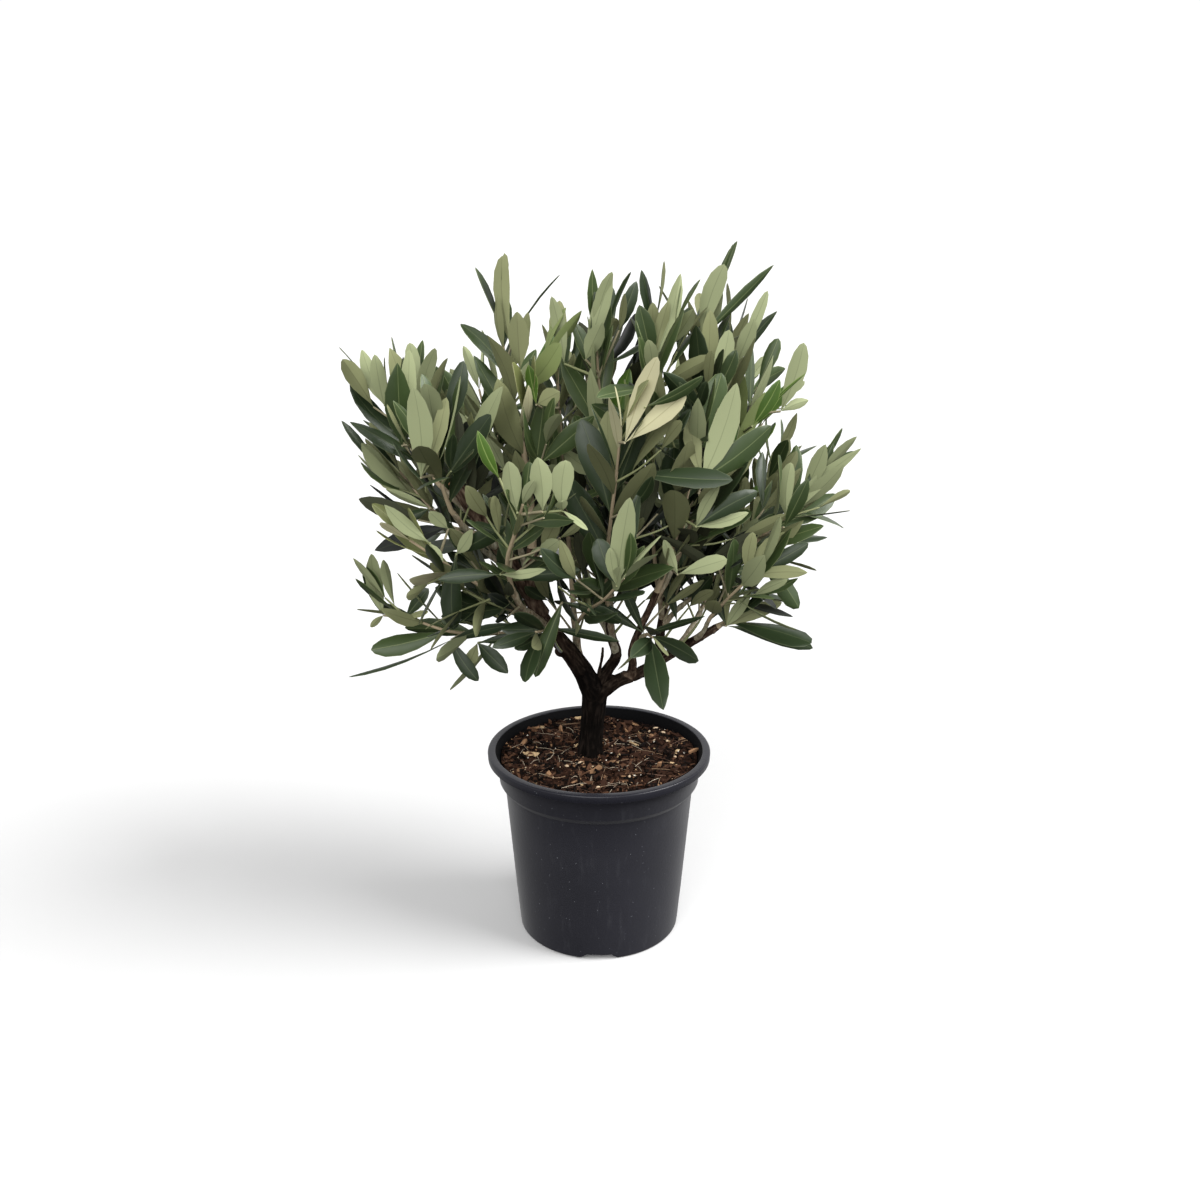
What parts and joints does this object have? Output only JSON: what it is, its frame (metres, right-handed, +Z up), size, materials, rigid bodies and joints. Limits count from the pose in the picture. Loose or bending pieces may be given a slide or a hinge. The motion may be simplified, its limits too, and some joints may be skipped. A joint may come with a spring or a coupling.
{
  "type": "potted olive tree",
  "caption": "Small olive tree with a leaning trunk, forked boughs and a full leafy crown, in a round black nursery pot.",
  "frame": {"origin": "middle of the flat underside of the pot", "axes": "+Z up along the pot's axis; +Y away from the picture's camera; +X to the picture's right"},
  "size_m": [0.3137, 0.2659, 0.4594],
  "materials": {
    "pot_plastic": "satin",
    "compost": "matte",
    "old_bark": "matte",
    "young_bark": "matte",
    "leaf": "matte"
  },
  "bodies": {
    "root": {"pot": "pot_plastic", "soil": "compost", "trunk": "old_bark", "limb_left": "old_bark", "limb_centre": "old_bark", "limb_right": "old_bark", "limb_cut": "old_bark", "limb_front": "old_bark", "limb_upright": "old_bark", "bough_left_front": "young_bark", "bough_left_high": "young_bark", "bough_left_low": "young_bark", "bough_left_under": "young_bark", "bough_low_left": "young_bark", "bough_front_left": "young_bark", "bough_mid_left": "young_bark", "bough_rear_left_low": "young_bark", "bough_rear_left_high": "young_bark", "bough_centre_high": "young_bark", "bough_rear_low": "young_bark", "bough_rear_high": "young_bark", "bough_front_centre": "young_bark", "bough_front_mid": "young_bark", "bough_lower_front": "young_bark", "bough_lower_right": "young_bark", "bough_top_right": "young_bark", "bough_right_high": "young_bark", "bough_far_right": "young_bark", "bough_right_mid": "young_bark", "bough_rear_right_low": "young_bark", "bough_rear_right": "young_bark", "bough_right_centre": "young_bark", "foliage_upper_left": "leaf", "foliage_top_middle": "leaf", "foliage_right_low": "leaf", "foliage_front_right": "leaf", "foliage_rear_right_high": "leaf", "foliage_left_front": "leaf", "foliage_left_high": "leaf", "foliage_left_low": "leaf", "foliage_left_under": "leaf", "foliage_low_left": "leaf", "foliage_front_left": "leaf", "foliage_mid_left_high": "leaf", "foliage_rear_left_low": "leaf", "foliage_rear_left_high": "leaf", "foliage_centre_high": "leaf", "foliage_rear_low": "leaf", "foliage_rear_high": "leaf", "foliage_front_centre": "leaf", "foliage_front_mid": "leaf", "foliage_lower_front": "leaf", "foliage_lower_right": "leaf", "foliage_top_right": "leaf", "foliage_right_high": "leaf", "foliage_far_right": "leaf", "foliage_right_mid": "leaf", "foliage_rear_right_low": "leaf", "foliage_rear_right": "leaf", "foliage_right_centre": "leaf"}
  },
  "joints": []
}
